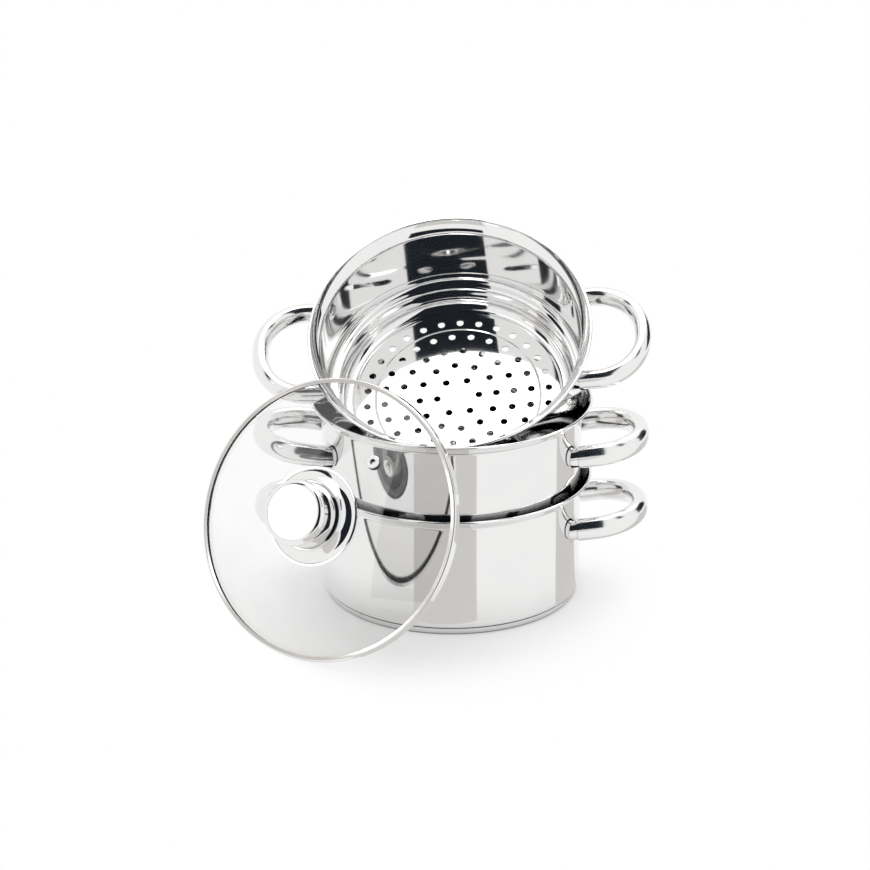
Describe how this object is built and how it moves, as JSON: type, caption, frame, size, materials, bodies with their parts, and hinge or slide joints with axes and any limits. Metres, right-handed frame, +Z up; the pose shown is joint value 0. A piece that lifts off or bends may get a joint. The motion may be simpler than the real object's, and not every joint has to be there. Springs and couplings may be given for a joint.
{
  "type": "food steamer",
  "caption": "Stove-top steamer in polished steel: a pot with perforated tiers that stack on it by loop handles, the upper one tipped to show its floor, and a domed glass lid leaning on it.",
  "frame": {"origin": "on the floor, on the axis of the pot", "axes": "+Z up along the pot's axis, -Y to the front where the lid leans, +X to the right handles"},
  "size_m": [0.3092, 0.2555, 0.2507],
  "materials": {
    "polished_steel": "polished",
    "heat_spreader": "satin",
    "clear_glass": "gloss",
    "knob_filler": "matte",
    "silicone": "matte"
  },
  "bodies": {
    "pot": {"pot_shell": "polished_steel", "pot_base_core": "heat_spreader", "pot_base_cap": "polished_steel", "pot_handle_left": "polished_steel", "pot_handle_right": "polished_steel", "pot_handle_pads": "polished_steel", "pot_handle_rivets": "polished_steel"},
    "mid_tier": {"mid_tier_shell": "polished_steel", "mid_tier_handle_left": "polished_steel", "mid_tier_handle_right": "polished_steel", "mid_tier_handle_pads": "polished_steel", "mid_tier_handle_rivets": "polished_steel"},
    "top_tier": {"top_tier_shell": "polished_steel", "top_tier_handle_left": "polished_steel", "top_tier_handle_right": "polished_steel", "top_tier_handle_pads": "polished_steel", "top_tier_handle_rivets": "polished_steel"},
    "lid": {"lid_glass": "clear_glass", "lid_rim_band": "polished_steel", "lid_vent_eyelet": "polished_steel", "knob_flange": "polished_steel", "knob_cap": "polished_steel", "knob_core": "knob_filler", "knob_nut": "polished_steel", "knob_gasket": "silicone", "knob_washer": "polished_steel", "knob_screw": "polished_steel"}
  },
  "joints": [
    {"name": "mid_tier_lift", "type": "slide", "parent": "pot", "child": "mid_tier", "axis": [0, 0, 1], "range_m": [0, 0.1]},
    {"name": "top_tier_lift", "type": "slide", "parent": "mid_tier", "child": "top_tier", "axis": [0, 0, 1], "range_m": [0, 0.12]},
    {"name": "lid_lift", "type": "slide", "parent": "top_tier", "child": "lid", "axis": [-0.4394, -0.7862, 0.4345], "range_m": [0, 0.15]}
  ]
}
